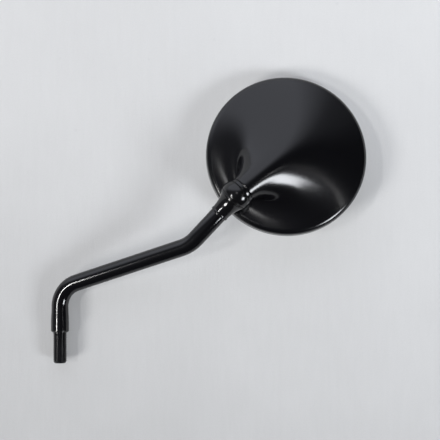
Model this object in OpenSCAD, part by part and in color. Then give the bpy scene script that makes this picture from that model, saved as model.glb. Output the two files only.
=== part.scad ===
// Round motorcycle mirror on a cranked stem, seen from the back in its usual place.
// The origin is on the thread's axis at the shoulder that seats on the handlebar clamp.
// +Z runs up the stem, the stem's bends lie in the XZ plane and the glass faces +Y.

/* [Stem] */
// Diameter of the thread's crests
thread_d = 9.9; // [7.8:0.1:11.9]
// Length of the threaded end
thread_len = 22; // [14:1:34]
// Diameter of the bent rod
rod_d = 12; // [11:0.1:14]
// How much wider than the rod its foot is, above the shoulder
foot_extra = 0.8; // [0.4:0.1:3]
// Height of the elbow's corner over the shoulder
foot_len = 31.3; // [30:0.1:60]
// Length of the middle run, from corner to corner
run_len = 101; // [60:1:150]
// Rise of the middle run above level
run_angle = 18; // [0:1:40]
// Length from the upper corner to the ball's centre
top_len = 48.5; // [44:0.5:80]
// Rise of the upper end above level
top_angle = 46; // [41:1:70]
// Bend radius of the elbow, on the rod's centre line
elbow_r = 18; // [14:1:24]
// Bend radius of the upper bend, on the rod's centre line
bend_r = 25; // [16:1:40]

/* [Ball joint] */
// Diameter of the ball
ball_d = 12; // [10:0.1:14.4]
// Length of the shank between the ball and the end of the rod
shank_len = 4.5; // [4:0.1:8]
// Wall of the nylon seat
seat_wall = 1.2; // [0.8:0.1:1.6]
// Wall of the housing round the seat
housing_wall = 1; // [0.8:0.1:1.6]
// Length of the plug that loads the springs
plug_len = 5.2; // [4.5:0.1:8]
// Thickness of each disc spring
disc_t = 0.6; // [0.4:0.1:0.8]
// Number of disc springs
disc_count = 4; // [2:1:5]

/* [Boot] */
// Wall of the boot's round top
bulb_wall = 1.8; // [1:0.1:2.2]
// Wall of the sleeve where it meets the rod
sleeve_wall = 0.4; // [0.4:0.1:1]
// Wall of the sleeve at its upper end
sleeve_top_wall = 1.35; // [1:0.05:2]
// Length of the boot below its round top
sleeve_len = 7.6; // [6:0.1:14]
// Width of the ring that holds the boot's top
ring_w = 2.7; // [2:0.1:3.3]
// Wall of that ring
ring_wall = 1.5; // [1.2:0.1:2]

/* [Head] */
// Diameter of the head
head_d = 114; // [90:1:140]
// How far the rim reaches past the ball's centre, under the boot
overhang = 8.4; // [6:0.1:10]
// Height of the boot's round top over the side wall
rim_drop = 5.4; // [5:0.1:10]
// Wall of the shell
shell_wall = 1.4; // [1:0.1:1.7]
// Radius of the rounded shoulder above the side wall
shoulder_r = 5; // [3:0.5:8]
// Radius of the shoulder where it passes under the boot
near_shoulder_r = 3; // [2:0.5:3]

/* [Glass] */
// Thickness of the glass
glass_t = 2; // [1.6:0.1:2.4]
// Radius that the glass is curved to
glass_curve = 1200; // [800:50:2000]
// Thickness of the foam pad behind the glass
pad_t = 0.8; // [0.5:0.1:1.2]
// Thickness of the backing plate
plate_t = 1.2; // [0.8:0.1:1.6]
// Thickness of the gasket in front of the glass and behind the plate
gasket_t = 0.7; // [0.5:0.1:1]
// Width of the gasket's lip over the glass
lip_w = 1.6; // [1:0.1:3]

/* [Pose] */
// Turn of the head about the rod's upper end
head_turn = -9; // [-180:1:180]
// Tilt of the head on its ball
head_tilt = 20; // [0:1:24]
// Twist of the head about its own neck
head_twist = 14; // [-180:1:180]

/* [Hidden] */
$fn = 72;

// Gap round what is pressed in or turns closely, between neighbours, and round what swings
fit_gap = 0.05;
running_gap = 0.1;
swing_gap = 0.3;

// Stem, with the bore that holds the ball's stud
rod_r = rod_d / 2;
thread_r = thread_d / 2;
foot_r = rod_r + foot_extra / 2;
foot_chamfer = 0.8;
spigot_r = rod_r * 2 / 3;
spigot_len = 13.5;
spigot_relief = 0.5;

// Corners of the stem's centre line, in the XZ plane
elbow = [0, foot_len];
upper = elbow + run_len * [cos(run_angle), sin(run_angle)];
ball = upper + top_len * [cos(top_angle), sin(top_angle)];
// Length of each bend's tangent, from the corner to where the bend starts
elbow_cut = elbow_r * tan((90 - run_angle) / 2);
bend_cut = bend_r * tan((top_angle - run_angle) / 2);
bend_lap = 0.3;
bend_thin = 0.01;

// Radii of the ball joint
ball_r = ball_d / 2;
shank_r = ball_r / 2;
seat_in_r = ball_r + fit_gap;
seat_out_r = seat_in_r + seat_wall;
bore_r = seat_out_r + fit_gap;
housing_r = bore_r + housing_wall;

// Distances from the ball's centre, along the rod's axis or the neck's
rod_end = ball_r + shank_len;
lip_depth = 0.53 * ball_r;
cup_x = 0.55 * ball_r;
cup_end = cup_x + ball_r * 5 / 6;
disc_pitch = disc_t + 0.25;
discs_len = disc_count * disc_pitch;
plug_x = cup_end + discs_len + running_gap;
plug_end = plug_x + plug_len;
housing_end = plug_end + 0.5;

// Ring, level with the housing's lip but on the head's side of the ball, and the boot that it holds
ring_x = lip_depth;
ring_in_r = housing_r + running_gap;
bulb_in_r = norm([housing_r + swing_gap, ring_x]);
bulb_r = bulb_in_r + bulb_wall;
boot_len = bulb_r + sleeve_len;

// Shell
neck_x = ring_x + ring_w + running_gap;
neck_r = housing_r + 0.15 + shell_wall;
head_r = head_d / 2;
reach = head_r - overhang;
drop = bulb_r + rim_drop;

// Glass, stacked between the gasket's lips, each layer a hair apart
layer_gap = 0.02;
rim_inset = 1.1;
pad_up = glass_t + layer_gap;
plate_up = pad_up + pad_t + layer_gap;
stack = plate_up + plate_t + 0.26;
side_h = rim_inset + stack;
rim_z = -drop - side_h;
glass_z = rim_z + rim_inset;
gasket_r = head_r - shell_wall - running_gap;
glass_r = gasket_r - 1.1;
plate_r = glass_r - running_gap;
pad_r = glass_r - lip_w - 0.6;

// A rod along the Z axis from z0 to z1
module rod(r, z0, z1) {
    translate([0, 0, z0]) cylinder(r = r, h = z1 - z0);
}

// A bend in the XZ plane at a corner of the centre line, between two rises above level.
// It reaches a little into the straight runs on both sides, and is a hair thinner than they are.
module bend(corner, radius, from, to) {
    turn = abs(to - from);
    side = to > from ? 1 : -1;
    cut = radius * tan(turn / 2);
    lap = bend_lap / radius * 180 / PI;
    middle = corner - cut * [cos(from), sin(from)] + side * radius * [-sin(from), cos(from)];
    translate([middle[0], 0, middle[1]])
        rotate([90, 0, 0])
            rotate([0, 0, min(from, to) - side * 90 - lap])
                rotate_extrude(angle = turn + 2 * lap)
                    translate([radius, 0]) circle(r = rod_r - bend_thin);
}

// Puts its children at a point of the stem's plane, with Z along the given rise
module along(point, angle) {
    translate([point[0], 0, point[1]]) rotate([0, 90 - angle, 0]) children();
}

// The stem's upper end: origin at the ball's centre, +Z away from the rod
module on_rod_end() {
    along(ball, top_angle) children();
}

// The neck: origin at the ball's centre, +X into the head and +Z out of its back
module on_neck() {
    translate([ball[0], 0, ball[1]])
        rotate([0, -top_angle, 0])
            rotate([90, 0, 0])
                rotate([head_turn, 0, 0])
                    rotate([0, head_tilt, 0])
                        children();
}

module on_head() {
    on_neck() rotate([head_twist, 0, 0]) children();
}

// Turns what is drawn about Z so that it lies along X
module along_x() {
    rotate([0, 90, 0]) children();
}

module stem() {
    tip = 1.5;
    tip_chamfer = 1;
    taper = 8;
    foot_top = foot_len - elbow_cut;
    color([0.03, 0.03, 0.035]) difference() {
        union() {
            rod(thread_r, -thread_len + tip, 0.01);
            translate([0, 0, -thread_len]) cylinder(r1 = thread_r - tip_chamfer, r2 = thread_r, h = tip);
            cylinder(r1 = foot_r - foot_chamfer, r2 = foot_r, h = foot_chamfer);
            rod(foot_r, foot_chamfer, foot_top - taper);
            translate([0, 0, foot_top - taper]) cylinder(r1 = foot_r, r2 = rod_r, h = taper);
            bend(elbow, elbow_r, 90, run_angle);
            along(elbow, run_angle) rod(rod_r, elbow_cut, run_len - bend_cut);
            bend(upper, bend_r, run_angle, top_angle);
            along(upper, top_angle) rod(rod_r, bend_cut, top_len - rod_end);
        }
        on_rod_end() rod(spigot_r, -rod_end - spigot_len - spigot_relief, -rod_end + 1);
    }
}

module ball_stud() {
    color("silver") on_rod_end() {
        sphere(r = ball_r);
        rod(shank_r, -rod_end - 1, -ball_r + 1);
        rod(spigot_r, -rod_end - spigot_len, -rod_end);
    }
}

// Half outline of the boot as [radius, distance from the ball's centre along the rod]:
// a beaded sleeve, a flare with a thin rib, and a round top
function boot_outline() = let(
        low = -boot_len,
        r0 = rod_r + fit_gap + sleeve_wall,
        r1 = rod_r + fit_gap + sleeve_top_wall,
        bead = 0.2,
        rib = -bulb_r * sin(15) - 0.2)
    concat(
        [[r0, low], [r0 + bead, low + 0.5], [r0 + bead, low + 1.6], [r0, low + 2.2]],
        [[r1, rib - 6.2], [r1 + 0.9, rib - 4], [bulb_r - 0.9, rib - 1.3], [bulb_r - 0.7, rib - 1.1]],
        [[bulb_r - 0.4, rib - 1], [bulb_r - 0.3, rib - 0.2], [bulb_r - 0.7, rib]],
        [for (a = [-15:5:85]) bulb_r * [cos(a), sin(a)]],
        [[0, bulb_r], [0, low]]
    );

module joint_boot() {
    reach_out = 2 * bulb_r;
    color([0.04, 0.04, 0.045]) difference() {
        on_rod_end() rotate_extrude() polygon(boot_outline());
        on_rod_end() sphere(r = bulb_in_r);
        on_rod_end() rod(rod_r + fit_gap, -boot_len - 1, -rod_r);
        on_neck() translate([ring_x - running_gap, -reach_out / 2, -reach_out / 2]) cube(reach_out);
    }
}

module boot_ring() {
    edge = 0.5;
    out_r = ring_in_r + ring_wall;
    color([0.04, 0.04, 0.045]) on_neck() translate([ring_x, 0, 0]) along_x()
        rotate_extrude() polygon([
            [ring_in_r, 0], [out_r - edge, 0], [out_r, edge],
            [out_r, ring_w - edge], [out_r - edge, ring_w], [ring_in_r, ring_w]
        ]);
}

// The shell is lofted from the round rim to the round mouth of its neck, which lies to one side.
// a is the angle round the head, 0 at the far side and 180 under the neck.
// u runs 0 to 1 up the side wall, 1 to 2 round the shoulder and 2 to 3 over the back.
back_steps = 16;
around = 72;
shoulder_steps = 4;
// Turn of the shoulder, and the curve's two handles, each under the neck and at the far side
shoulder_turn = [92, 66];
rim_handle = [1.4 * neck_r, 0.53 * head_r];
neck_handle = [0.3 * neck_r, 0.7 * head_r];
// Greatest spread of the neck's sides
neck_flare = 55;

function mix(pair, share) = pair[0] + (pair[1] - pair[0]) * share;
function far(a) = (1 + cos(a)) / 2;
function near(a) = 1 - far(a);
function off_neck(a) = 1 - pow(near(a), 2);
function bend_r_at(a) = mix([near_shoulder_r, shoulder_r], off_neck(a));
function turn_at(a) = mix(shoulder_turn, off_neck(a));
function out_from_middle(a, r, z) = [reach + r * cos(a), r * sin(a), z];
function side_point(a, t, w) = out_from_middle(a, head_r - w, rim_z + side_h * t);
function shoulder_point(a, t, w) = let(turn = turn_at(a) * t, r = bend_r_at(a))
    out_from_middle(a, head_r - r + (r - w) * cos(turn), -drop + (r - w) * sin(turn));
function mouth_point(a) = [neck_x, neck_r * sin(a), neck_r * cos(a)];
function back_point(a, t) = let(
        s = 1 - t,
        turn = turn_at(a),
        rise = [-sin(turn) * cos(a), -sin(turn) * sin(a), cos(turn)],
        p0 = shoulder_point(a, 1, 0),
        p1 = p0 + mix(rim_handle, far(a)) * rise,
        p3 = mouth_point(a),
        flare = neck_flare * pow(sin(a) * near(a), 2),
        ahead = [cos(flare), sin(flare) * sin(a), sin(flare) * cos(a)],
        p2 = p3 + mix(neck_handle, far(a)) * ahead)
    s * s * s * p0 + 3 * s * s * t * p1 + 3 * s * t * t * p2 + t * t * t * p3;
function unit(v) = v / norm(v);
function back_normal(a, t) = let(e = 0.01)
    unit(cross(back_point(a + 1, t) - back_point(a - 1, t),
               back_point(a, min(1, t + e)) - back_point(a, max(0, t - e))));
function skin_point(a, u, w) =
    u <= 1 ? side_point(a, u, w)
    : u <= 2 ? shoulder_point(a, u - 1, w)
    : back_point(a, u - 2) - w * back_normal(a, u - 2);

module shell() {
    rings = concat([0], [for (i = [0:shoulder_steps]) 1 + i / shoulder_steps],
                   [for (i = [1:back_steps]) 2 + i / back_steps]);
    n = len(rings);
    outer = [for (u = rings) for (i = [0:around - 1]) skin_point(i * 360 / around, u, 0)];
    inner = [for (u = rings) for (i = [0:around - 1]) skin_point(i * 360 / around, u, shell_wall)];
    base = n * around;
    function at(k, i) = k * around + i % around;
    color([0.03, 0.03, 0.035]) on_head() polyhedron(
        points = concat(outer, inner),
        faces = concat(
            [for (k = [0:n - 2]) for (i = [0:around - 1]) each [
                [at(k, i), at(k + 1, i), at(k + 1, i + 1)],
                [at(k, i), at(k + 1, i + 1), at(k, i + 1)],
                [base + at(k, i), base + at(k + 1, i + 1), base + at(k + 1, i)],
                [base + at(k, i), base + at(k, i + 1), base + at(k + 1, i + 1)]
            ]],
            [for (i = [0:around - 1]) each [
                [at(0, i), at(0, i + 1), base + at(0, i + 1)],
                [at(0, i), base + at(0, i + 1), base + at(0, i)],
                [at(n - 1, i), base + at(n - 1, i + 1), at(n - 1, i + 1)],
                [at(n - 1, i), base + at(n - 1, i), base + at(n - 1, i + 1)]
            ]]
        )
    );
}

// A round-bottomed cup's solid about the ball's centre, from the lip to an end, along Z
module cup_body(r, end) {
    union() {
        intersection() {
            sphere(r = r);
            rod(r + 1, -lip_depth, 0.5);
        }
        rod(r, 0, end);
    }
}

module socket_housing() {
    color("dimgray") on_head() along_x() difference() {
        union() {
            cup_body(housing_r, plug_x);
            translate([0, 0, plug_x - 1]) cylinder(r = housing_r, h = 1.5);
            translate([0, 0, plug_x + 0.5])
                cylinder(r1 = housing_r, r2 = housing_r - 0.45, h = housing_end - plug_x - 0.5);
        }
        intersection() {
            sphere(r = bore_r);
            rod(bore_r + 1, -lip_depth - 1, 0.5);
        }
        rod(bore_r, 0, housing_end + 1);
    }
}

module ball_seat() {
    color("ivory") on_head() along_x() difference() {
        cup_body(seat_out_r, cup_x - running_gap);
        sphere(r = seat_in_r);
    }
}

module thrust_cup() {
    grease_r = ball_r / 3;
    color("silver") on_head() along_x() difference() {
        rod(seat_out_r - fit_gap, cup_x, cup_end);
        sphere(r = seat_in_r);
        rod(grease_r, cup_x, cup_end + 1);
    }
}

module disc_springs() {
    out_r = seat_out_r - 0.4;
    in_r = seat_out_r / 2;
    cone = 0.2;
    color("gray") on_head() along_x()
        for (i = [0:disc_count - 1]) {
            in_z = cone * (i % 2);
            out_z = cone - in_z;
            translate([0, 0, cup_end + i * disc_pitch + fit_gap]) rotate_extrude() polygon([
                [in_r, in_z], [out_r, out_z], [out_r, out_z + disc_t], [in_r, in_z + disc_t]
            ]);
        }
}

module preload_plug() {
    key_across = ball_r;
    key_depth = plug_len - 2;
    guide_r = seat_out_r / 2 - swing_gap;
    guide_len = discs_len - 0.6;
    color("dimgray") on_head() along_x() difference() {
        union() {
            rod(bore_r - fit_gap, plug_x, plug_end);
            rod(guide_r, plug_x - guide_len, plug_x + 1);
        }
        translate([0, 0, plug_end - key_depth])
            cylinder(r = key_across / sqrt(3), h = key_depth + 1, $fn = 6);
    }
}

// A round sheet that follows the curve of the glass: outer face at z on its edge, bulging down
module dished(r, t, z, edge_r) {
    steps = 8;
    function sag(x) = z - (edge_r * edge_r - x * x) / (2 * glass_curve);
    rotate_extrude($fn = 144) polygon(concat(
        [for (i = [0:steps]) [r * i / steps, sag(r * i / steps)]],
        [for (i = [steps:-1:0]) [r * i / steps, sag(r * i / steps) + t]]
    ));
}

module at_middle() {
    on_head() translate([reach, 0, 0]) children();
}

module mirror_glass() {
    color("lightsteelblue") at_middle() dished(glass_r, glass_t, glass_z, glass_r);
}

module adhesive_pad() {
    color([0.1, 0.1, 0.1]) at_middle() dished(pad_r, pad_t, glass_z + pad_up, glass_r);
}

module backing_plate() {
    color([0.5, 0.5, 0.52]) at_middle() dished(plate_r, plate_t, glass_z + plate_up, glass_r);
}

// U section round the glass and its plate, chamfered behind where the shell's shoulder turns in
module rim_gasket() {
    low = glass_z - running_gap;
    high = glass_z + stack + running_gap;
    in_r = glass_r - lip_w;
    wall_r = glass_r + running_gap;
    color([0.02, 0.02, 0.02]) at_middle() rotate_extrude($fn = 144) polygon([
        [in_r, low - gasket_t], [gasket_r, low - gasket_t], [gasket_r, high - gasket_t],
        [gasket_r - gasket_t, high + gasket_t], [in_r, high + gasket_t],
        [in_r, high], [wall_r, high], [wall_r, low], [in_r, low]
    ]);
}

stem();
ball_stud();
joint_boot();
boot_ring();
shell();
socket_housing();
ball_seat();
thrust_cup();
disc_springs();
preload_plug();
backing_plate();
adhesive_pad();
mirror_glass();
rim_gasket();
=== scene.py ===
"""Looks of a round motorcycle mirror: gloss black horn-shaped shell on a ball joint and a cranked stem."""

import math

import bpy
import numpy as np
from mathutils import Matrix, Vector


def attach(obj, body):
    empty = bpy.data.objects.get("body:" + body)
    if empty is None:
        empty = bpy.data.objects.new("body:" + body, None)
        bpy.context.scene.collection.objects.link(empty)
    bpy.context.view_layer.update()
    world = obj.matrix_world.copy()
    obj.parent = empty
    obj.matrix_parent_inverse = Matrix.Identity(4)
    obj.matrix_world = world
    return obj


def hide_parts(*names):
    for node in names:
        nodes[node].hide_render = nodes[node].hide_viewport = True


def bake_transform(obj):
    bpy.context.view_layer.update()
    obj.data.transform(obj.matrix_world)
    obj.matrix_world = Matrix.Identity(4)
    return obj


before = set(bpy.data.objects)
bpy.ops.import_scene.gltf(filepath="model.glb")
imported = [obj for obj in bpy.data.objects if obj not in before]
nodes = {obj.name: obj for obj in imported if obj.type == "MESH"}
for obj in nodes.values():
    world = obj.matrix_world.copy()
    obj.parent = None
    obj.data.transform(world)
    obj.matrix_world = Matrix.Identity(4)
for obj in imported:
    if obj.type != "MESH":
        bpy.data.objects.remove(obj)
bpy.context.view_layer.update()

MM = 0.001

# Stem, in millimetres and degrees, as the frame has it
THREAD_R = 4.93
THREAD_LEN = 22.0
THREAD_PITCH = 1.25
THREAD_DEPTH = 0.68
THREAD_SLOPE = 1.35
THREAD_ROOT = 0.12
THREAD_RUNOUT = 1.2
TIP_LEN = 1.5
TIP_STEP = 1.0
FOOT_R = 6.4
FOOT_CHAMFER = 0.8
FOOT_TAPER = 12.0
FOOT_EDGE = 0.18
FOOT_LEN = 31.3
ROD_R = 6.0
RUN_LEN = 101.0
RUN_ANGLE = 18.0
TOP_LEN = 48.5
TOP_ANGLE = 46.0
ELBOW_R = 18.0
BEND_R = 25.0
ROD_END = 10.5
ROD_EDGE = 0.35

# Head's pose on the ball, in degrees
HEAD_TURN = -9.0
HEAD_TILT = 20.0
HEAD_TWIST = 14.0

# Housing inside the neck, the ring over it and the boot that the ring holds: places are measured from the
# ball's centre, and a rise is an angle in degrees above the plane through it, square to the rod
GAP = 0.1
BOOT_GAP = 0.3
HOUSING_R = 8.3
RING_X = 3.18
RING_W = 2.7
RING_WALL = 1.5
RING_ROUND = 0.75
RING_BORE = HOUSING_R + GAP
RING_R = RING_BORE + RING_WALL
BULB_WALL = 1.8
BULB_IN_R = math.hypot(HOUSING_R + BOOT_GAP, RING_X)
BULB_R = BULB_IN_R + BULB_WALL
BULB_RISE = -14.5
BULB_IN_RISE = -48.0
RIB_RISE = -15.0
SLEEVE_R = 6.45
SLEEVE_LEN = 7.6
BEAD_LEN = 2.4
BOOT_LEN = BULB_R + SLEEVE_LEN
BOOT_BORE_R = ROD_R + 0.08
BORE_ENDS = (-6.9, -9.4)

# Shell: each pair is its value under the neck and at the far side
HEAD_R = 57.0
OVERHANG = 8.4
REACH = HEAD_R - OVERHANG
RIM_DROP = 5.4
DROP = BULB_R + RIM_DROP
SIDE_H = 5.4
RIM_Z = -DROP - SIDE_H
SHELL_WALL = 1.4
RIM_EDGE = 0.35
NECK_FIT = 0.15
NECK_R = HOUSING_R + NECK_FIT + SHELL_WALL
NECK_X = RING_X + RING_W + GAP
SHOULDER_R = (3.0, 5.0)
SHOULDER_TURN = (92.0, 66.0)
RIM_HANDLE = (1.4 * NECK_R, 0.53 * HEAD_R)
NECK_HANDLE = (0.3 * NECK_R, 0.7 * HEAD_R)
NECK_FLARE = 55.0

# Glass and its seal
GLASS_R = 54.4
GLASS_T = 2.0
GLASS_Z = RIM_Z + 1.1
GLASS_CURVE = 1200.0
GLASS_EDGE = 0.3
SEAL_R = 55.5
SEAL_FRONT = 0.7
SEAL_LIP = 1.6
SEAL_STACK = 4.3
SEAL_GAP = 0.1
SEAL_TAPER = 0.7

# Camera, from the photograph: the image is 440 px square and 1.40 px is 1 mm at the foot
VIEW_AZIMUTH = 14.0
VIEW_DISTANCE = 900.0
SENSOR_WIDTH = 36.0
PX_PER_MM = 1.40
IMAGE_PX = 440.0
FOOT_PX = (60.0, 332.0)

# Board that the mirror lies on and the point that the lamps face, in metres
BOARD_HALF = 3.0
BOARD_GAP = 0.0002
LAMP_AIM = (0.05, 0.02, 0.0)

# Share of the board that glows by itself, and how strongly
GLOW_SHARE = 0.28
GLOW = 1.05


def direction(rise):
    """Unit vector in the stem's plane at this rise above level, in degrees."""
    angle = math.radians(rise)
    return Vector((math.cos(angle), 0, math.sin(angle)))


ELBOW = Vector((0, 0, FOOT_LEN))
UPPER = ELBOW + RUN_LEN * direction(RUN_ANGLE)
BALL = UPPER + TOP_LEN * direction(TOP_ANGLE)


def turned(axis, degrees):
    """Turn about an axis through the origin."""
    return Matrix.Rotation(math.radians(degrees), 4, axis)


NECK = (Matrix.Translation(BALL) @ turned("Y", -TOP_ANGLE) @ turned("X", 90)
        @ turned("X", HEAD_TURN) @ turned("Y", HEAD_TILT))
HEAD = NECK @ turned("X", HEAD_TWIST)
MIDDLE = HEAD @ Matrix.Translation((REACH, 0, 0))


# Meshes from rings of points

def ring_mesh(name, rings, join_ends=False, caps=False, sharp=40):
    """A mesh through equal closed rings of points in millimetres, whose ends are joined or capped."""
    rings = np.asarray(rings, float) * MM
    count, around = rings.shape[:2]
    faces = []
    last = count if join_ends else count - 1
    for k in range(last):
        low, high = k * around, (k + 1) % count * around
        for i in range(around):
            j = (i + 1) % around
            faces.append((low + i, low + j, high + j, high + i))
    if caps:
        faces.append(tuple(range(around - 1, -1, -1)))
        faces.append(tuple((count - 1) * around + i for i in range(around)))
    mesh = bpy.data.meshes.new(name)
    mesh.from_pydata([tuple(p) for p in rings.reshape(-1, 3)], [], faces)
    mesh.validate()
    mesh.polygons.foreach_set("use_smooth", [True] * len(mesh.polygons))
    mesh.set_sharp_from_angle(angle=math.radians(sharp))
    mesh.update()
    piece = bpy.data.objects.new(name, mesh)
    bpy.context.scene.collection.objects.link(piece)
    return piece


def moved(points, matrix):
    """Points in millimetres carried by a matrix."""
    points = np.asarray(points, float)
    m = np.array(matrix)
    return points @ m[:3, :3].T + m[:3, 3]


def revolved(profile, around, axis="X"):
    """Rings of a profile of (radius, place along the axis) pairs, about X or Z."""
    turn = np.linspace(0, 2 * math.pi, around, endpoint=False)
    rings = []
    for radius, place in profile:
        side, up = radius * np.cos(turn), radius * np.sin(turn)
        along = np.full(around, place)
        rings.append(np.stack((along, side, up) if axis == "X" else (side, up, along), axis=1))
    return np.array(rings)


def rounded(corners, radius, steps=4):
    """A closed outline with each corner rounded; a corner may carry its own radius as a third value."""
    out = []
    count = len(corners)
    for i, corner in enumerate(corners):
        here = Vector(corner[:2])
        r = corner[2] if len(corner) > 2 else radius
        to_last = Vector(corners[i - 1][:2]) - here
        to_next = Vector(corners[(i + 1) % count][:2]) - here
        reach = min(r, 0.45 * to_last.length, 0.45 * to_next.length)
        start = here + reach * to_last.normalized()
        end = here + reach * to_next.normalized()
        for k in range(steps + 1):
            t = k / steps
            out.append(tuple(start * (1 - t) ** 2 + here * 2 * t * (1 - t) + end * t * t))
    return out


# Stem

def thread_radius(z, turn):
    """Radius of the threaded end at a height and a turn about its axis: a helix, flat on crest and root."""
    share = (z / THREAD_PITCH - turn / (2 * math.pi)) % 1.0
    wave = abs(2 * share - 1)
    crest = min(1.0, max(0.0, THREAD_SLOPE * wave - THREAD_ROOT))
    runout = min(1.0, max(0.0, -z / THREAD_RUNOUT))
    radius = THREAD_R - THREAD_DEPTH * (1 - crest) * runout
    above_tip = z + THREAD_LEN
    return min(radius, THREAD_R - TIP_STEP * (1 - above_tip / TIP_LEN))


def stem_sections():
    """Every ring's centre, direction above level and radius; the threaded end's radius is None."""
    sections = []
    thread_rings = int(THREAD_LEN / THREAD_PITCH * 12)
    for k in range(thread_rings + 1):
        sections.append((Vector((0, 0, THREAD_LEN * (k / thread_rings - 1))), 90, None))
    sections += [(Vector((0, 0, z)), 90, r) for z, r in foot_profile()]
    sections += bend_sections(ELBOW, ELBOW_R, 90, RUN_ANGLE, 28)
    sections += bend_sections(UPPER, BEND_R, RUN_ANGLE, TOP_ANGLE, 16)
    for back, cut in ((ROD_EDGE, 0.0), (0.15, 0.1), (0.0, ROD_EDGE)):
        sections.append((BALL - (ROD_END + back) * direction(TOP_ANGLE), TOP_ANGLE, ROD_R - cut))
    return sections


def foot_profile():
    """Height and radius of the foot's rings: its shoulder, its chamfer and a soft taper up to the elbow."""
    top = FOOT_LEN - ELBOW_R * math.tan(math.radians(90 - RUN_ANGLE) / 2)
    inner = FOOT_R - FOOT_CHAMFER
    profile = [(0.0, THREAD_R + 0.1), (0.0, inner - FOOT_EDGE), (FOOT_EDGE / 2, inner + 0.05),
               (FOOT_CHAMFER - FOOT_EDGE, FOOT_R - FOOT_EDGE), (FOOT_CHAMFER, FOOT_R - 0.05),
               (FOOT_CHAMFER + FOOT_EDGE, FOOT_R), (FOOT_CHAMFER + 2 * FOOT_EDGE, FOOT_R)]
    steps = 20
    for k in range(steps):
        t = k / steps
        profile.append((top - FOOT_TAPER * (1 - t), FOOT_R + (ROD_R - FOOT_R) * t * t * (3 - 2 * t)))
    return profile


def bend_sections(corner, radius, start, end, steps):
    """Rings round a bend between two directions, each given by its angle above level."""
    side = 1 if end > start else -1
    cut = radius * math.tan(math.radians(abs(end - start)) / 2)
    middle = corner - cut * direction(start) + side * radius * direction(start + 90)
    sections = []
    for k in range(steps + 1):
        rise = start + (end - start) * k / steps
        sections.append((middle + radius * direction(rise - side * 90), rise, ROD_R))
    return sections


def bent_stem():
    """The stem in one mesh, from the thread's tip to the rod's end in the boot."""
    turns = np.linspace(0, 2 * math.pi, 72, endpoint=False).tolist()
    across = Vector((0, 1, 0))
    rings = []
    for middle, rise, radius in stem_sections():
        up = direction(rise + 90)
        ring = []
        for t in turns:
            reach = radius or thread_radius(middle.z, t)
            ring.append(middle + reach * (math.cos(t) * across + math.sin(t) * up))
        rings.append(ring)
    return ring_mesh("bent_stem", rings, caps=True, sharp=50)


# Boot and ring

def sleeve_profile():
    """Radius and place along the rod of the boot's outside below its round top: bead, flare and rib."""
    low = -BOOT_LEN
    rib = BULB_R * math.sin(math.radians(RIB_RISE)) - 0.2
    bead = [(-0.1, 0.0), (0.1, 0.1), (0.25, 0.4), (0.27, 1.0), (0.2, 1.5), (0.02, 1.8), (-0.02, 2.0)]
    profile = [(BOOT_BORE_R, low + 0.15)]
    profile += [(SLEEVE_R + out, low + along) for out, along in bead + [(0.04, BEAD_LEN)]]
    flare_len = rib - 1.3 - low - BEAD_LEN
    steps = 12
    for k in range(1, steps + 1):
        t = k / steps
        widening = 0.2 * t + 0.8 * t ** 2.6
        radius = SLEEVE_R + 0.05 + (BULB_R - 0.9 - SLEEVE_R) * widening
        profile.append((radius, low + BEAD_LEN + flare_len * t))
    rib_edge = [(0.88, -1.12), (0.7, -1.02), (0.48, -0.95), (0.36, -0.78), (0.32, -0.4), (0.42, -0.18),
                (0.66, -0.05), (0.6, 0.12)]
    return profile + [(BULB_R - inset, rib + along) for inset, along in rib_edge]


def moulded_boot():
    """The boot, turned about the rod, with a round top that ends at the tilted ring."""
    around = 96
    turns = np.linspace(0, 2 * math.pi, around, endpoint=False)
    rod = Matrix.Translation(BALL) @ turned("Y", -TOP_ANGLE)
    neck_axis = (rod.inverted().to_3x3() @ NECK.to_3x3()) @ Vector((1, 0, 0))
    top = RING_X - GAP

    def sphere_end(radius, turn):
        """Angle on a sphere about the ball at which the ring's plane cuts it."""
        a = neck_axis.y * math.cos(turn) + neck_axis.z * math.sin(turn)
        b = neck_axis.x
        return math.atan2(b, a) - math.acos(top / (radius * math.hypot(a, b)))

    def sphere_ring(radius, start, share):
        """A ring on a sphere about the ball, a share of the way from a start angle to the ring's plane."""
        ring = []
        for t in turns:
            rise = start + (sphere_end(radius, t) - start) * share
            out = radius * math.cos(rise)
            ring.append((radius * math.sin(rise), out * math.cos(t), out * math.sin(t)))
        return ring

    outside, inside = math.radians(BULB_RISE), math.radians(BULB_IN_RISE)
    rings = list(revolved(sleeve_profile(), around))
    rings += [sphere_ring(BULB_R, outside, k / 14) for k in range(14)]
    for share, inset in ((0.96, 0.04), (0.98, 0.14), (1, 0.42)):
        rings.append(sphere_ring(BULB_R - inset, outside, share))
    rings += [sphere_ring(BULB_IN_R, inside, 1 - k / 10) for k in range(11)]
    rings += list(revolved([(BOOT_BORE_R, place) for place in BORE_ENDS], around))
    return ring_mesh("moulded_boot", [moved(r, rod) for r in rings], join_ends=True, sharp=50)


def clamp_ring():
    """The ring over the boot's top, of rounded square section."""
    far = RING_X + RING_W
    corners = [(RING_BORE, RING_X), (RING_R, RING_X), (RING_R, far), (RING_BORE, far)]
    rings = [moved(r, NECK) for r in revolved(rounded(corners, RING_ROUND, steps=6), 128)]
    return ring_mesh("clamp_ring", rings, join_ends=True)


# Shell

def far_share(a):
    """0 under the neck and 1 at the far side, for an angle round the rim."""
    return (1 + np.cos(a)) / 2


def mixed(pair, share):
    """A value between a pair's two."""
    return pair[0] + (pair[1] - pair[0]) * share


def off_neck(a):
    """0 under the neck, rising quickly to 1 round the rest of the rim."""
    return 1 - (1 - far_share(a)) ** 2


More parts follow.
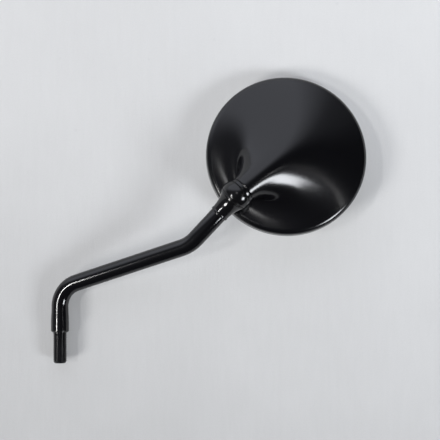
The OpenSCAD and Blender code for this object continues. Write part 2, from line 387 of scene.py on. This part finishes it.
def shoulder_ring(a, share, wall):
    """A ring of the round shoulder, at a share of its turn and a depth under the outer skin."""
    radius = mixed(SHOULDER_R, off_neck(a))
    turn = np.radians(mixed(SHOULDER_TURN, off_neck(a))) * share
    out = HEAD_R - radius + (radius - wall) * np.cos(turn)
    up = (radius - wall) * np.sin(turn) - DROP
    return np.stack((REACH + out * np.cos(a), out * np.sin(a), up), axis=1)


def back_ring(a, t):
    """A ring of the shell's back: t is 0 at the shoulder and 1 at the neck's mouth."""
    turn = np.radians(mixed(SHOULDER_TURN, off_neck(a)))
    rise = np.stack((-np.sin(turn) * np.cos(a), -np.sin(turn) * np.sin(a), np.cos(turn)), axis=1)
    p0 = shoulder_ring(a, 1, 0)
    p1 = p0 + mixed(RIM_HANDLE, far_share(a))[:, None] * rise
    p3 = np.stack((np.full(len(a), NECK_X), NECK_R * np.sin(a), NECK_R * np.cos(a)), axis=1)
    flare = np.radians(NECK_FLARE) * (np.sin(a) * (1 - far_share(a))) ** 2
    ahead = np.stack((np.cos(flare), np.sin(flare) * np.sin(a), np.sin(flare) * np.cos(a)), axis=1)
    p2 = p3 + mixed(NECK_HANDLE, far_share(a))[:, None] * ahead
    s = 1 - t
    return s ** 3 * p0 + 3 * s * s * t * p1 + 3 * s * t * t * p2 + t ** 3 * p3


def back_normals(a, t):
    """Outward normals of the back, from the slopes along and across its rings."""
    step = 1e-3
    round_rim = back_ring(a + step, t) - back_ring(a - step, t)
    up_back = back_ring(a, min(1, t + step)) - back_ring(a, max(0, t - step))
    normal = np.cross(round_rim, up_back)
    return normal / np.linalg.norm(normal, axis=1)[:, None]


def lofted_shell():
    """Both skins of the shell, joined round the rim's edge and the neck's mouth."""
    around = 288
    steps = 72
    a = np.linspace(0, 2 * math.pi, around, endpoint=False)

    def side_ring(z, wall):
        out = HEAD_R - wall
        return np.stack((REACH + out * np.cos(a), out * np.sin(a), np.full(around, z)), axis=1)

    rings = [side_ring(RIM_Z, SHELL_WALL - RIM_EDGE), side_ring(RIM_Z, RIM_EDGE)]
    rings += [side_ring(RIM_Z + 0.1, 0.1), side_ring(RIM_Z + RIM_EDGE, 0)]
    rings += [side_ring(RIM_Z + RIM_EDGE + (SIDE_H - RIM_EDGE) * k / 4, 0) for k in range(1, 4)]
    rings += [shoulder_ring(a, k / 10, 0) for k in range(11)]
    rings += [back_ring(a, k / steps) for k in range(1, steps)]
    mouth = back_ring(a, 1)
    inward = np.stack((np.zeros(around), -np.sin(a), -np.cos(a)), axis=1)
    for before, cut in ((0.55, 0.02), (0.16, 0.14), (0.0, 0.5)):
        rings.append(mouth + (before, 0, 0) + cut * inward)
    for k in range(steps, 0, -1):
        rings.append(back_ring(a, k / steps) - SHELL_WALL * back_normals(a, k / steps))
    rings += [shoulder_ring(a, k / 6, SHELL_WALL) for k in range(6, -1, -1)]
    rings += [side_ring(RIM_Z + RIM_EDGE, SHELL_WALL)]
    return ring_mesh("lofted_shell", [moved(r, HEAD) for r in rings], join_ends=True, sharp=60)


# Glass and seal

def glass_drop(r, z):
    """Height of the convex glass at a distance from its middle."""
    return z - (GLASS_R ** 2 - r ** 2) / (2 * GLASS_CURVE)


def silvered_glass():
    """Convex glass with a ground edge."""
    radii = np.linspace(0.02, GLASS_R - GLASS_EDGE, 41).tolist()
    face = [(r, glass_drop(r, GLASS_Z)) for r in radii]
    rim = [(GLASS_R, GLASS_Z + GLASS_EDGE), (GLASS_R, GLASS_Z + GLASS_T - GLASS_EDGE)]
    back = [(r, glass_drop(r, GLASS_Z + GLASS_T)) for r in reversed(radii)]
    rings = [moved(r, MIDDLE) for r in revolved(face + rim + back, 192, "Z")]
    return ring_mesh("silvered_glass", rings, caps=True, sharp=30)


def rim_seal():
    """Rubber ring of U section round the glass and its plate."""
    low = GLASS_Z - SEAL_FRONT - SEAL_GAP
    high = GLASS_Z + SEAL_STACK + SEAL_GAP
    back = high + SEAL_FRONT
    lip = GLASS_R - SEAL_LIP
    wall = GLASS_R + SEAL_GAP
    outside = [(lip, low, 0.45), (SEAL_R, low, 0.3), (SEAL_R, high - SEAL_FRONT),
               (SEAL_R - SEAL_TAPER, back), (lip, back)]
    inside = [(lip, high), (wall, high), (wall, low + SEAL_FRONT), (lip, low + SEAL_FRONT, 0.2)]
    rings = [moved(r, MIDDLE) for r in revolved(rounded(outside + inside, 0.15), 192, "Z")]
    return ring_mesh("rim_seal", rings, join_ends=True, sharp=50)


# Shader maths

class Value:
    """A socket that Python's operators build Math nodes on."""

    def __init__(self, material, socket):
        self.material, self.socket = material, socket

    def _maths(self, operation, first, second):
        return self.material.add("ShaderNodeMath", {"operation": operation}, first, second)

    def __add__(self, other):
        return self._maths("ADD", self, other)

    def __radd__(self, other):
        return self._maths("ADD", other, self)

    def __mul__(self, other):
        return self._maths("MULTIPLY", self, other)

    def __rmul__(self, other):
        return self._maths("MULTIPLY", other, self)

    def out(self, name):
        """Another output of the same node."""
        return Value(self.material, self.socket.node.outputs[name])


class Finish:
    """A material's node tree, with one method that adds a node."""

    def __init__(self, name, owner=None):
        self.data = owner or bpy.data.materials.new(name)
        self.data.use_nodes = True
        self.tree = self.data.node_tree
        self.tree.nodes.clear()

    def add(self, kind, settings=None, *values, **named):
        """A node of a type: its settings first, then its sockets' values or links, in order or by name."""
        node = self.tree.nodes.new(kind)
        for key, value in (settings or {}).items():
            if key == "stops":
                stops = node.color_ramp.elements
                while len(stops) < len(value):
                    stops.new(0.5)
                for stop, (place, colour) in zip(stops, value):
                    stop.position, stop.color = place, colour
            else:
                setattr(node, key, value)
        pairs = list(enumerate(values)) + [(k.replace("_", " "), v) for k, v in named.items()]
        for key, value in pairs:
            if value is None:
                continue
            socket = node.inputs[key]
            if isinstance(value, Value):
                self.tree.links.new(value.socket, socket)
            else:
                socket.default_value = value
        first = next((o for o in node.outputs if o.enabled), None)
        return Value(self, first) if first else node

    def place(self):
        """Coordinates fixed to the object, in metres."""
        return self.add("ShaderNodeTexCoord").out("Object")

    def noise(self, scale, detail=3.0, roughness=0.5, vector=None):
        """Soft clouds, at the object's own place or at a given one."""
        vector = vector or self.place()
        return self.add("ShaderNodeTexNoise", None, Vector=vector, Scale=scale, Detail=detail,
                        Roughness=roughness)

    def ramp(self, value, stops):
        """A value turned into greys through (place, grey) stops."""
        colours = [(place, (grey, grey, grey, 1)) for place, grey in stops]
        return self.add("ShaderNodeValToRGB", {"stops": colours}, value)

    def spread(self, value, low, high):
        """A value from 0 to 1 spread over a new range."""
        return self.add("ShaderNodeMapRange", None, Value=value, To_Min=low, To_Max=high)

    def tinted(self, factor, low, high):
        """A colour between two, by a factor from 0 to 1."""
        return self.add("ShaderNodeMix", {"data_type": "RGBA"}, factor, None, None, None, None, None,
                        low + (1,), high + (1,))

    def parts(self, vector):
        """A vector's three values."""
        split = self.add("ShaderNodeSeparateXYZ", None, vector)
        return [split.out(letter) for letter in "XYZ"]

    def stretched(self, vector, scale):
        """A vector with each of its values scaled."""
        return self.add("ShaderNodeVectorMath", {"operation": "MULTIPLY"}, vector, scale)

    def along(self, vector, axis):
        """How far a vector points along an axis."""
        product = self.add("ShaderNodeVectorMath", {"operation": "DOT_PRODUCT"}, vector, tuple(axis))
        return product.out("Value")

    def limited(self, value):
        """A value held between 0 and 1."""
        return self.add("ShaderNodeClamp", None, value)

    def bump(self, height, distance, strength=1.0):
        """Normals of a surface that this height raises, by a distance in metres."""
        return self.add("ShaderNodeBump", None, Height=height, Distance=distance, Strength=strength)

    def surface(self, **sockets):
        """Closes the tree with one shader and returns the material."""
        shader = self.add("ShaderNodeBsdfPrincipled", None, **sockets)
        self.add("ShaderNodeOutputMaterial", None, Surface=shader)
        return self.data


def gloss_black_paint(name, smooth, rough):
    """Stoved black paint with the faintest orange peel, between two roughnesses."""
    paint = Finish(name)
    cloud = paint.noise(38, 2)
    peel = paint.noise(420, 2, 0.55)
    grain = paint.noise(3200, 2)
    return paint.surface(
        Base_Color=paint.tinted(cloud, (0.0022, 0.0022, 0.0028), (0.0032, 0.0032, 0.004)),
        Roughness=paint.spread(cloud, smooth, rough),
        Normal=paint.bump(peel * 0.8 + grain * 0.2, 0.000006))


def black_rubber(name):
    """Polished mould rubber, a little softer in gloss than the paint."""
    rubber = Finish(name)
    cloud = rubber.noise(90, 3)
    grain = rubber.noise(1600, 3, 0.6)
    return rubber.surface(
        Base_Color=rubber.tinted(cloud, (0.003, 0.003, 0.0033), (0.0045, 0.0045, 0.005)),
        Roughness=rubber.spread(cloud, 0.1, 0.15),
        Normal=rubber.bump(grain, 0.00001))


def matt_rubber(name):
    """Dull black rubber with a fine grain."""
    rubber = Finish(name)
    cloud = rubber.noise(120, 3)
    grain = rubber.noise(2600, 4, 0.65)
    return rubber.surface(
        Base_Color=rubber.tinted(cloud, (0.016, 0.016, 0.017), (0.028, 0.028, 0.029)),
        Roughness=rubber.spread(cloud, 0.5, 0.66),
        Normal=rubber.bump(grain, 0.00004))


def silvering(name):
    """Mirror glass: bright silver with a trace of cool tint and the finest waviness."""
    silver = Finish(name)
    cloud = silver.noise(14, 2)
    return silver.surface(
        Base_Color=silver.tinted(cloud, (0.86, 0.88, 0.885), (0.89, 0.905, 0.905)),
        Metallic=1.0,
        Roughness=silver.spread(cloud, 0.012, 0.02),
        Normal=silver.bump(silver.noise(18, 1), 0.000002))


def turned_steel(name, light):
    """Lathe-turned steel with fine tool marks."""
    steel = Finish(name)
    marks = steel.noise(5200, 4, 0.7)
    cloud = steel.noise(140, 3)
    dark = tuple(0.82 * v for v in light)
    return steel.surface(
        Base_Color=steel.tinted(cloud, dark, light),
        Metallic=1.0,
        Roughness=steel.spread(marks, 0.2, 0.38),
        Normal=steel.bump(marks, 0.00001))


def moulded_plastic(name, low, high, roughness):
    """Plastic with the grain of its mould, between two colours."""
    plastic = Finish(name)
    cloud = plastic.noise(160, 3)
    grain = plastic.noise(2400, 3, 0.6)
    return plastic.surface(
        Base_Color=plastic.tinted(cloud, low, high),
        Roughness=plastic.spread(cloud, roughness, roughness + 0.12),
        Normal=plastic.bump(grain, 0.00003))


def foam_tape(name):
    """Black foam with open cells."""
    foam = Finish(name)
    cells = foam.add("ShaderNodeTexVoronoi", None, Vector=foam.place(), Scale=2600.0)
    return foam.surface(
        Base_Color=foam.tinted(cells, (0.02, 0.02, 0.02), (0.07, 0.07, 0.07)),
        Roughness=foam.spread(cells, 0.8, 0.95),
        Normal=foam.bump(cells, 0.0001))


def painted_table(name):
    """Pale painted board: lighter towards the top and the right by painted light, with random blotches,
    upright brush marks, faint weave and a few specks.

    A share of it glows, where it is seen or mirrored, so that the board is pale and its shadows stay soft.
    Its back is clear, so that views from behind see the object.
    """
    board = Finish(name)
    place = board.place()
    across, up = board.parts(place)[:2]
    patches = board.noise(5, 4, 0.6, place)
    strokes = board.noise(34, 3, 0.6, board.stretched(place, (7.0, 1.0, 1.0)))
    # painted light: the up and across terms lighten the board towards the top and the right, standing in
    # for uneven lamp light; the patches and strokes are random
    tone_with_painted_light = patches * 0.4 + up * 2.3 + across * 0.9 + strokes * 0.1 + 0.17
    weave = board.noise(900, 2, 0.7, place)
    specks = board.ramp(board.noise(150, 1, 0.5, place), [(0.18, 0.0), (0.24, 1.0)])
    shade = board.limited(tone_with_painted_light * 0.86 + weave * 0.14) * (specks * 0.12 + 0.88)
    colour = board.tinted(shade, (0.45, 0.4535, 0.456), (0.8, 0.807, 0.812))
    paint = board.add("ShaderNodeBsdfPrincipled", None, Base_Color=colour,
                      Roughness=board.spread(patches, 0.6, 0.8),
                      Normal=board.bump(strokes * 0.7 + weave * 0.3, 0.0004, 0.6))
    glow = board.add("ShaderNodeBsdfPrincipled", None, Base_Color=(0, 0, 0, 1), Specular_IOR_Level=0.0,
                     Emission_Color=colour, Emission_Strength=GLOW)
    path = board.add("ShaderNodeLightPath")
    mirrored = path.out("Is Glossy Ray") + path.out("Is Transmission Ray")
    seen = board.limited(path.out("Is Camera Ray") + mirrored)
    front = board.add("ShaderNodeMixShader", None, seen * GLOW_SHARE, paint, glow)
    clear = board.add("ShaderNodeBsdfTransparent")
    behind = board.add("ShaderNodeNewGeometry").out("Backfacing")
    both = board.add("ShaderNodeMixShader", None, behind, front, clear)
    board.add("ShaderNodeOutputMaterial", None, Surface=both)
    return board.data


def give(piece, finish):
    """Puts one finish on a whole piece."""
    piece.data.materials.clear()
    piece.data.materials.append(finish)


# Pieces

stem = bent_stem()
give(stem, gloss_black_paint("stem_gloss_black", 0.1, 0.14))
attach(stem, "stem")
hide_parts("stem")

shell = lofted_shell()
give(shell, gloss_black_paint("shell_gloss_black", 0.15, 0.19))
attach(shell, "head")
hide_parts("shell")

boot = moulded_boot()
give(boot, black_rubber("boot_gloss_rubber"))
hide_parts("joint_boot")
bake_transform(boot)

ring = clamp_ring()
give(ring, gloss_black_paint("ring_gloss_black", 0.12, 0.16))
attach(ring, "collar")
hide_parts("boot_ring")

glass = silvered_glass()
give(glass, silvering("mirror_silver"))
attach(glass, "head")
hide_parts("mirror_glass")

seal = rim_seal()
give(seal, matt_rubber("seal_matt_rubber"))
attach(seal, "head")
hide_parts("rim_gasket")

give(nodes["ball_stud"], turned_steel("ball_turned_steel", (0.62, 0.61, 0.6)))
give(nodes["socket_housing"], turned_steel("housing_turned_steel", (0.46, 0.46, 0.47)))
give(nodes["thrust_cup"], turned_steel("cup_turned_steel", (0.6, 0.6, 0.6)))
give(nodes["disc_springs"], turned_steel("spring_dark_steel", (0.34, 0.34, 0.36)))
give(nodes["preload_plug"], turned_steel("plug_turned_steel", (0.5, 0.5, 0.5)))
give(nodes["ball_seat"], moulded_plastic("seat_nylon_white", (0.72, 0.7, 0.62), (0.8, 0.78, 0.7), 0.35))
give(nodes["backing_plate"],
     moulded_plastic("plate_black_plastic", (0.045, 0.045, 0.045), (0.06, 0.06, 0.06), 0.45))
give(nodes["adhesive_pad"], foam_tape("pad_foam_tape"))


# Camera and the surface that the photograph looks down on

azimuth = math.radians(VIEW_AZIMUTH)
RIGHT = Vector((math.cos(azimuth), math.sin(azimuth), 0))
UP = Vector((0, 0, 1))
TO_CAMERA = Vector((math.sin(azimuth), -math.cos(azimuth), 0))
foot_to_middle = ((IMAGE_PX / 2 - FOOT_PX[0]) * RIGHT + (FOOT_PX[1] - IMAGE_PX / 2) * UP) / PX_PER_MM
VIEW_CENTRE = foot_to_middle * MM

FACING = Matrix((
    (RIGHT.x, UP.x, TO_CAMERA.x, 0),
    (RIGHT.y, UP.y, TO_CAMERA.y, 0),
    (RIGHT.z, UP.z, TO_CAMERA.z, 0),
    (0, 0, 0, 1)))


def photo_point(right, up, out):
    """A point by its metres right of, above and in front of the view's centre."""
    return VIEW_CENTRE + right * RIGHT + up * UP + out * TO_CAMERA


def look_camera():
    """The camera at the photograph's viewing angle."""
    data = bpy.data.cameras.new("view")
    data.sensor_width = SENSOR_WIDTH
    data.lens = data.sensor_width * VIEW_DISTANCE * PX_PER_MM / IMAGE_PX
    data.clip_start, data.clip_end = 0.01, 20.0
    camera = bpy.data.objects.new("view", data)
    bpy.context.scene.collection.objects.link(camera)
    camera.matrix_world = Matrix.Translation(photo_point(0, 0, VIEW_DISTANCE * MM)) @ FACING
    bpy.context.scene.camera = camera


def table():
    """Board that the mirror lies on in the photograph, just clear of its lowest points."""
    lowest = min((piece.matrix_world @ v.co).dot(TO_CAMERA) for piece in (stem, shell, seal, glass)
                 for v in piece.data.vertices)
    middle = photo_point(0, 0, lowest - VIEW_CENTRE.dot(TO_CAMERA) - BOARD_GAP)
    mesh = bpy.data.meshes.new("table")
    corners = [(x * BOARD_HALF, y * BOARD_HALF, 0) for x, y in ((-1, -1), (1, -1), (1, 1), (-1, 1))]
    mesh.from_pydata(corners, [], [(0, 1, 2, 3)])
    board = bpy.data.objects.new("table", mesh)
    bpy.context.scene.collection.objects.link(board)
    board.matrix_world = Matrix.Translation(middle) @ FACING
    give(board, painted_table("table_pale_paint"))


def soft_lamp(name, azimuth_deg, height_deg, distance, size, power, colour=(1, 1, 1)):
    """A rectangular lamp, placed by its angle round the picture and its height over the table."""
    round_picture, height = math.radians(azimuth_deg), math.radians(height_deg)
    level = math.cos(round_picture) * RIGHT + math.sin(round_picture) * UP
    away = math.cos(height) * level + math.sin(height) * TO_CAMERA
    data = bpy.data.lights.new(name, "AREA")
    data.shape = "RECTANGLE"
    data.size, data.size_y = size
    data.energy = power
    data.color = colour
    lamp = bpy.data.objects.new(name, data)
    bpy.context.scene.collection.objects.link(lamp)
    facing = away.to_track_quat("Z", "Y").to_matrix().to_4x4()
    lamp.matrix_world = Matrix.Translation(photo_point(*LAMP_AIM) + distance * away) @ facing


def room_light():
    """A soft room: pale towards the picture's upper left and dark towards its lower right.

    Gloss paint mirrors the room, and a view past the board sees an even pale grey.
    """
    world = bpy.data.worlds.new("room")
    bpy.context.scene.world = world
    room = Finish("room", world)
    looking = room.add("ShaderNodeTexCoord").out("Generated")
    paler = (-0.66 * RIGHT + 0.62 * UP + 0.42 * TO_CAMERA).normalized()
    side = room.along(looking, paler)
    high = room.along(looking, UP)
    pale_side = room.ramp(side * 0.5 + 0.5, [(0.42, 0.04), (0.62, 0.18), (0.78, 1.0), (1.0, 1.0)])
    above = room.ramp(high * 0.5 + 0.5, [(0.69, 0.1), (0.81, 1.0)])
    shade = room.tinted(pale_side * above, (0.02, 0.02, 0.022), (1.19, 1.23, 1.37))
    path = room.add("ShaderNodeLightPath")
    seen = path.out("Is Camera Ray") + path.out("Is Transmission Ray")
    lit = room.add("ShaderNodeBackground", None, shade, 1.0)
    pale = room.add("ShaderNodeBackground", None, (0.64, 0.65, 0.65, 1), 1.0)
    both = room.add("ShaderNodeMixShader", None, seen, lit, pale)
    room.add("ShaderNodeOutputWorld", None, Surface=both)


look_camera()
table()
room_light()
soft_lamp("window", -34, 36.5, 1.5, (0.46, 0.46), 14.5, (0.93, 0.96, 1.0))
soft_lamp("side_window", 189, 49, 1.7, (0.1, 0.22), 6.0, (1.0, 0.99, 0.98))
soft_lamp("low_window", 210, 32, 1.6, (0.34, 0.4), 15.5, (1.0, 0.99, 0.98))
soft_lamp("lamp_right", -7, 50.6, 1.6, (0.035, 0.22), 0.18)
soft_lamp("lamp_over", 103, 77.5, 1.8, (0.18, 0.18), 0.8)

bpy.context.scene.view_settings.view_transform = "Standard"
